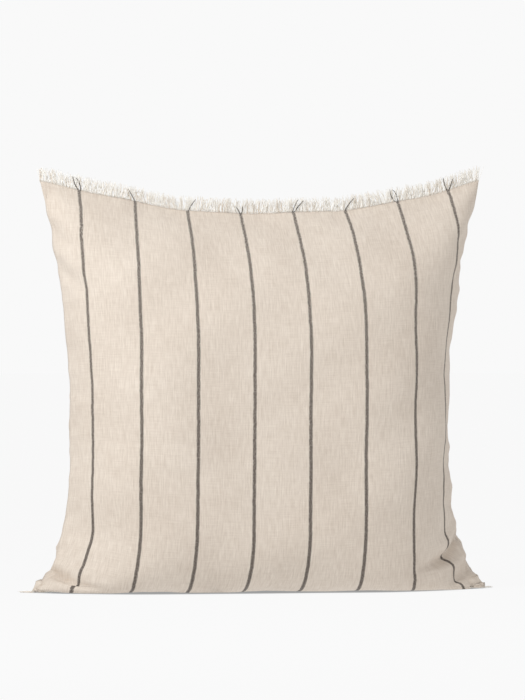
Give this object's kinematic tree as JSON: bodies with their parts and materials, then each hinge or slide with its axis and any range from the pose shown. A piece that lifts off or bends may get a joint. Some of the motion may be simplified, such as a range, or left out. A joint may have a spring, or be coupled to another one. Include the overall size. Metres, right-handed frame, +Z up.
{
  "type": "throw pillow",
  "caption": "Large square throw pillow standing on its edge: striped woven cover with a fringe of loose warp yarns along top and bottom, a zip in the back and a stuffed inner pad.",
  "frame": {"origin": "on the floor, under the middle of the standing pillow", "axes": "+Z up, front face towards -Y, +X to the right of someone who looks at the front face"},
  "size_m": [0.804, 0.31, 0.741],
  "materials": {
    "cloth": "matt plain weave of natural cotton and linen with dark warp stripes",
    "fringe": "matt loose yarn",
    "thread": "matt sewing thread",
    "casing": "matt fine cotton",
    "filling": "matt loose fibre",
    "tape": "matt woven tape",
    "coil": "satin moulded plastic",
    "metal": "satin antique plating",
    "label": "satin ribbon"
  },
  "bodies": {
    "cover": {"front_panel": "cloth", "back_panel_upper": "cloth", "back_panel_lower": "cloth", "top_fringe_front": "fringe", "top_fringe_back": "fringe", "bottom_fringe_front": "fringe", "bottom_fringe_back": "fringe", "top_seam_thread": "thread", "bottom_seam_thread": "thread", "left_seam_thread": "thread", "right_seam_thread": "thread", "pad_casing_front": "casing", "pad_casing_back": "casing", "pad_seam_thread": "thread", "pad_filling": "filling", "zip_tape_upper": "tape", "zip_tape_lower": "tape", "zip_coil_upper": "coil", "zip_coil_lower": "coil", "zip_top_stops": "metal", "zip_bottom_stop": "metal", "zip_stitching_upper": "thread", "zip_stitching_lower": "thread", "zip_end_threads": "thread", "care_label": "label"},
    "slider": {"zip_slider": "metal"},
    "pull_tab": {"zip_pull_tab": "metal"}
  },
  "joints": [
    {"name": "slider_run", "type": "slide", "parent": "cover", "child": "slider", "axis": [-1, 0, 0], "range_m": [0, 0.4492]},
    {"name": "pull_tab_hinge", "type": "hinge", "parent": "slider", "child": "pull_tab", "pos_m": [0.2246, 0.14535, 0.12], "axis": [0, 0, -1], "range_deg": [0, 180]}
  ]
}
